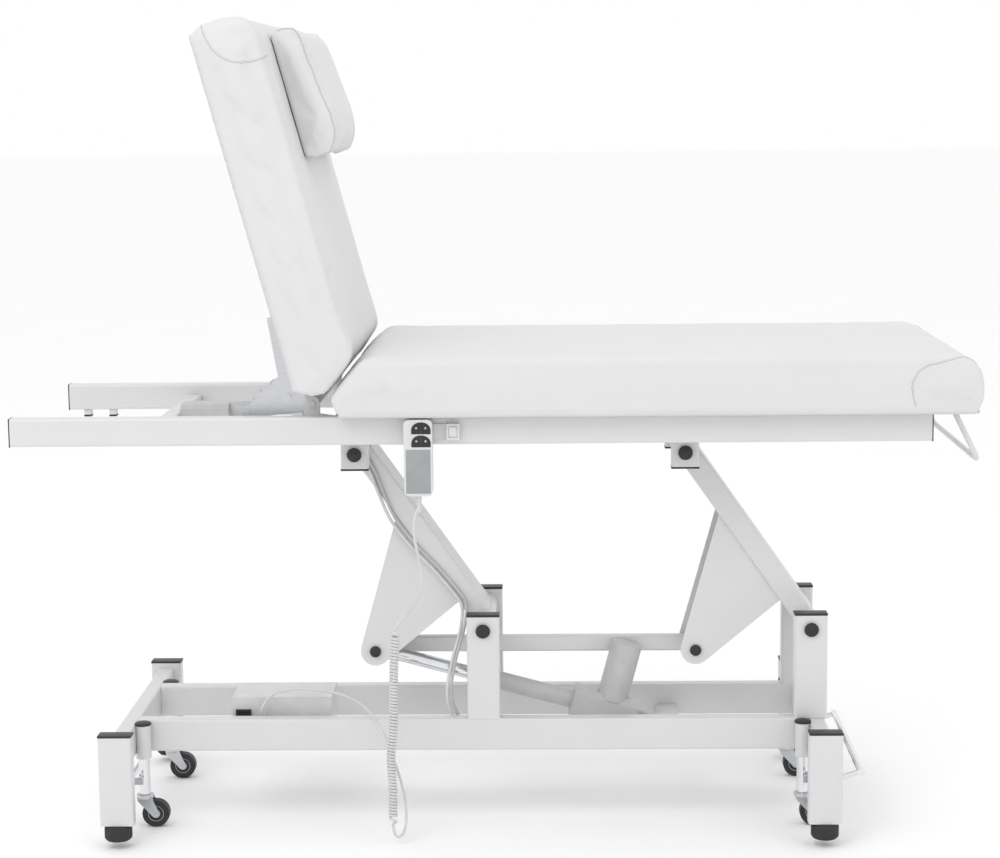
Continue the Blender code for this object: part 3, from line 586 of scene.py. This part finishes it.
def make_cushions():
    seat = upholster("seat_cushion", "seat_pad", "deck", 0.006, 0.002, 0.006, Vector((0, 0, -1)),
                     wrap=[(-0.279, 0.7755), (0.845, 0.7755), (0.849, 0.800), (-0.288, 0.800)])
    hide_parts("seat_board")
    board_edge = ((-0.0157, 0.026), (-0.0157, 0.676), (0.006, 0.684), (0.006, 0.018))
    back = upholster("back_cushion", "back_pad", "backrest", 0.006, 0.0015, 0.006, -BACK_N,
                     wrap=[on_back(n, t).xz for n, t in board_edge])
    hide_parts("back_board")
    pillow = upholster("head_pillow", "pillow", "pillow", 0.0045, 0.004, 0.007, -BACK_N, 0.8, 18)
    seat_tree, back_tree, pillow_tree = surface(seat), surface(back), surface(pillow)
    for side, k in SIDES.items():
        y = k * 0.32
        corner = [(0.728, y, 0.790), (0.724, y, 0.815), (0.726, y, 0.840), (0.738, y, 0.858),
                  (0.762, y, 0.868), (0.800, k * 0.300, 0.874), (0.842, k * 0.285, 0.862)]
        stitch(f"seat_corner_seam_{side}", seat_tree, corner, "deck")
        corner = [on_back(0.118, 0.600, k * 0.290), on_back(0.085, 0.600, y), on_back(0.050, 0.606, y),
                  on_back(0.022, 0.628, y), on_back(0.012, 0.655, y), on_back(0.010, 0.690, k * 0.300)]
        stitch(f"back_corner_seam_{side}", back_tree, corner, "backrest")
    outline = [(0.118, 0.410), (0.150, 0.412), (0.171, 0.442), (0.174, 0.480), (0.162, 0.600), (0.150, 0.646),
               (0.120, 0.652)]
    for side, k in SIDES.items():
        edge = [on_back(n, t, k * 0.199) for n, t in outline]
        stitch(f"pillow_seam_{side}", pillow_tree, edge, "pillow", 0.0013)


# Fittings

def cap(name, x, y, half_x, low_z, high_z, radius, body):
    """A thin black cap over a tube's end, centred at x and y."""
    half_y = 0.0155
    shape = soft_block((x - half_x, y - half_y, low_z), (x + half_x, y + half_y, high_z), radius)
    make(name, shape, BLACK, body)


def make_caps():
    sleeve = [(0.0, 0.1912), (0.0150, 0.1912), (0.0156, 0.1925), (0.0150, 0.1950), (0.0110, 0.1968),
              (0.0, 0.1972)]
    for end, x in ENDS.items():
        for side, k in SIDES.items():
            post_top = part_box(f"base_side_{side}")[1][2]
            cap(f"leg_cap_{end}_{side}", x, k * LEG_Y, 0.0305, 0.2040, 0.2080, 0.0015, "base")
            cap(f"post_cap_{end}_{side}", PIVOT_X[end], k * POST_Y, 0.0305, post_top, post_top + 0.004,
                0.0015, "base")
            cap(f"stub_cap_{end}_{side}", UPPER[end][0], k * POST_Y, 0.0255, 0.6585, 0.6619, 0.0012, "deck")
            shape = lathe(sleeve, (castor_x(end), k * CASTOR_Y, 0.0), (0, 0, 1), 32)
            make(f"sleeve_cap_{end}_{side}", shape, BLACK, "base")
    for side in SIDES:
        low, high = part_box(f"deck_rail_{side}")
        for end, x, out in (("head", low[0], -1), ("foot", high[0], 1)):
            near, far = sorted((x, x + out * 0.0022))
            shape = soft_block((near, low[1] - 0.0003, low[2] - 0.0003),
                               (far, high[1] + 0.0003, high[2] + 0.0003), 0.0008, 2)
            make(f"rail_cap_{end}_{side}", shape, BLACK, "deck")


def make_bolts():
    for end, (x, z) in CRANK_PINS.items():
        for side, k in SIDES.items():
            head = lathe(dome(0.0105, 0.006), (x, k * 0.0470, z), (0, k, 0), 32)
            make(f"crank_bolt_{end}_{side}", head, BLACK, f"arm_{end}")
    washer = [(0, -0.0005), (0.0125, -0.0005), (0.0132, 0.0006), (0.0125, 0.0015), (0.0085, 0.0022),
              (0.0050, 0.0034), (0.0, 0.0037)]
    for end in ENDS:
        for side, k in SIDES.items():
            low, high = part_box(f"axle_{end}_lower")
            face = high[1] if k > 0 else low[1]
            cover = lathe(washer, (PIVOT_X[end], face, LOWER_PIVOT_Z), (0, k, 0), 36)
            make(f"pivot_cover_{end}_{side}", cover, BLACK, "base")
            low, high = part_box(f"axle_{end}_upper")
            face = high[1] if k > 0 else low[1]
            cover = lathe(washer, (UPPER[end][0], face, UPPER[end][1]), (0, k, 0), 36)
            make(f"stub_cover_{end}_{side}", cover, BLACK, "deck")


def make_castor_details():
    hub = [(0, -0.004), (0.0148, -0.004), (0.0150, -0.0004), (0.0142, 0.0003), (0.0125, -0.0008),
           (0.0090, -0.0008), (0.0076, 0.0002), (0.0, 0.0002)]
    nut = [(0.0096, 0.0), (0.0100, 0.0006), (0.0100, 0.0030), (0.0092, 0.0036), (0.0, 0.0036), (0.0, 0.0)]
    for end in ENDS:
        for side, k in SIDES.items():
            low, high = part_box(f"castor_wheel_{end}_{side}")
            x, z = (low[0] + high[0]) / 2, (low[2] + high[2]) / 2
            for face, y, out in (("outer", high[1], 1), ("inner", low[1], -1)):
                make(f"hub_{face}_{end}_{side}", lathe(hub, (x, y, z), (0, out, 0), 36), GREY,
                     f"wheel_{end}_{side}")
            shape = lathe(nut, (castor_x(end), k * CASTOR_Y, 0.0625), (0, 0, 1), 6)
            make(f"castor_nut_{end}_{side}", shape, ZINC, f"stem_{end}_{side}")


def make_handset_face():
    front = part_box("handset_shell")[0][1]
    panel = soft_block((-0.1545, front - 0.0006, 0.6430), (-0.1115, front + 0.0008, 0.7205), 0.0005, 2)
    make("handset_panel", panel, PANEL, "deck")
    for level, z in (("upper", 0.7585), ("lower", 0.7355)):
        for side, x in (("left", -0.1355), ("right", -0.1195)):
            mark = lathe([(0, 0), (0.0016, 0), (0.0018, 0.0002), (0.0014, 0.0004), (0, 0.0004)],
                         (x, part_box(f"button_{level}_{side}")[0][1], z), (0, -1, 0), 20)
            make(f"key_mark_{level}_{side}", mark, GREY, f"key_{level}_{side}")


def make_back_bits():
    loop = smooth_route([(-0.432, -0.196, 0.787), (-0.430, -0.1965, 0.803), (-0.422, -0.197, 0.817),
                         (-0.410, -0.1965, 0.800),
                         (-0.402, -0.196, 0.769)], 0.003)
    make("wire_loop", sweep(loop, 0.0011, 8), ZINC, "backrest")
    for index, (low, high) in enumerate(((-0.827, -0.813), (-0.777, -0.763))):
        stop = soft_block((low, 0.244, 0.7140), (high, 0.262, 0.7249), 0.0012, 2)
        make(f"rail_stop_{index}", stop, WHITE, "deck")
        tip = soft_block((low - 0.0005, 0.2435, 0.7105), (high + 0.0005, 0.2625, 0.7140), 0.001, 2)
        make(f"rail_stop_tip_{index}", tip, BLACK, "deck")


def make_stage():
    mesh = bmesh.new()
    bmesh.ops.create_grid(mesh, x_segments=2, y_segments=2, size=60.0)
    data = bpy.data.meshes.new("floor")
    mesh.to_mesh(data)
    mesh.free()
    floor = bpy.data.objects.new("floor", data)
    floor.location = (0, 0, -0.0005)
    bpy.context.scene.collection.objects.link(floor)
    made, tree, shader = new_material("floor_paper", (0.965, 0.965, 0.965), 0.9)
    vary_colour(tree, shader, placed(tree), (0.965, 0.965, 0.965), 0.004, 2.0)
    data.materials.append(made)
    world = bpy.data.worlds.new("studio")
    world.use_nodes = True
    world.node_tree.nodes["Background"].inputs["Color"].default_value = (1.0, 1.0, 1.0, 1.0)
    world.node_tree.nodes["Background"].inputs["Strength"].default_value = 1.0
    bpy.context.scene.world = world
    bpy.context.scene.view_settings.view_transform = "Standard"
    for name, place, target, size, power in (
        ("key", (-1.6, -3.0, 3.6), (0, 0, 0.6), 2.6, 40.0),
        ("fill", (2.8, -2.2, 2.4), (0, 0, 0.6), 2.4, 10.0),
        ("top", (0.0, 0.6, 4.2), (0, 0, 0.5), 3.0, 10.0),
    ):
        lamp = bpy.data.lights.new(name, "AREA")
        lamp.shape = "DISK"
        lamp.size = size
        lamp.energy = power
        obj = bpy.data.objects.new(name, lamp)
        obj.location = place
        obj.rotation_euler = (Vector(target) - Vector(place)).to_track_quat("-Z", "Y").to_euler()
        bpy.context.scene.collection.objects.link(obj)


make_camera()
make_cords()
make_arm_cables()
dress_frame()
make_cushions()
make_caps()
make_bolts()
make_castor_details()
make_handset_face()
make_back_bits()
make_stage()

bpy.context.view_layer.update()
